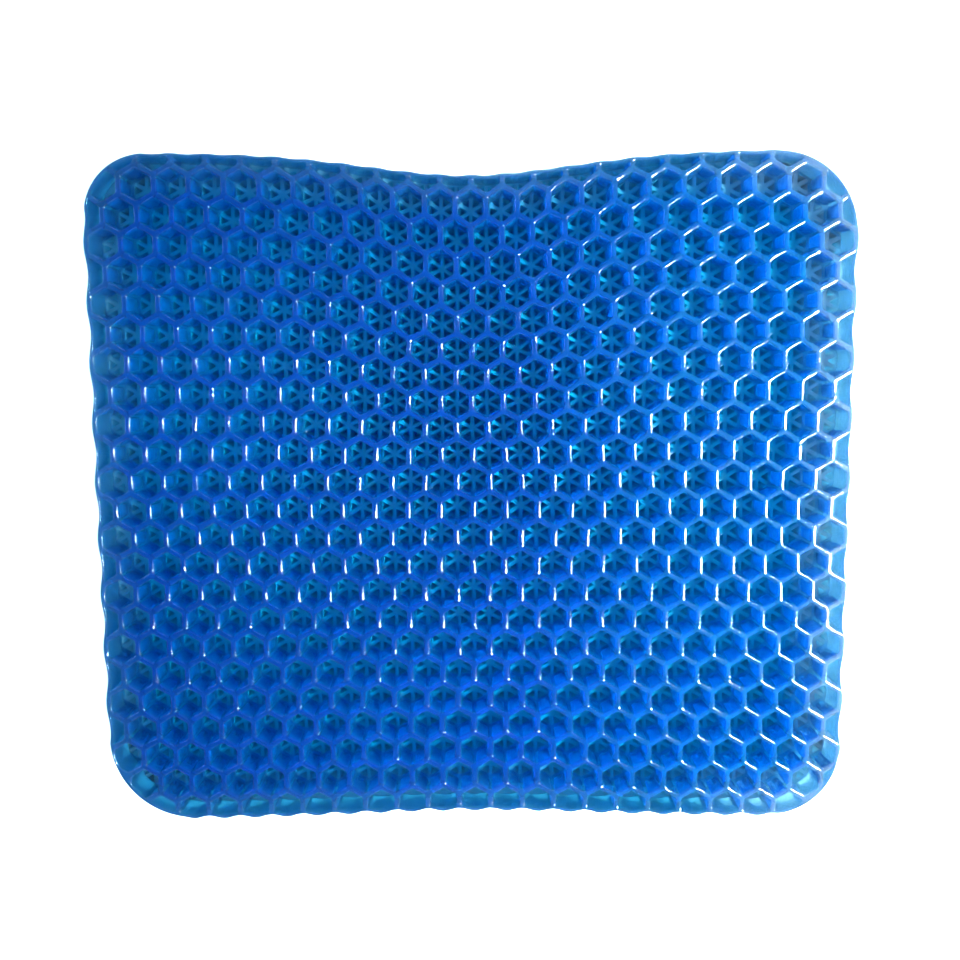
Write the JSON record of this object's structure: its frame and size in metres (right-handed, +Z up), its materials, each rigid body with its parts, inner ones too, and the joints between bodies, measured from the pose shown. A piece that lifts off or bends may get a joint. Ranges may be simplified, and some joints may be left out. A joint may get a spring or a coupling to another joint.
{
  "type": "honeycomb gel seat cushion",
  "caption": "Flat gel seat cushion with open hexagonal cells over a star-ribbed layer, rounded corners and a dished rear edge.",
  "frame": {"origin": "under the middle of the pad's box, on the flat underside", "axes": "+Z up out of the seat face, +X across the pad to the sitter's left, +Y from the front edge to the dished rear edge"},
  "size_m": [0.4, 0.3558, 0.035],
  "materials": {
    "comb_gel": "glossy translucent gel, saturated blue",
    "star_gel": "glossy translucent gel, teal blue where thin",
    "rim_gel": "glossy translucent gel, lighter blue where thin"
  },
  "bodies": {
    "root": {"rim_skin": "rim_gel", "upper_comb_front": "comb_gel", "upper_comb_rear": "comb_gel", "lower_star_layer": "star_gel"}
  },
  "joints": []
}
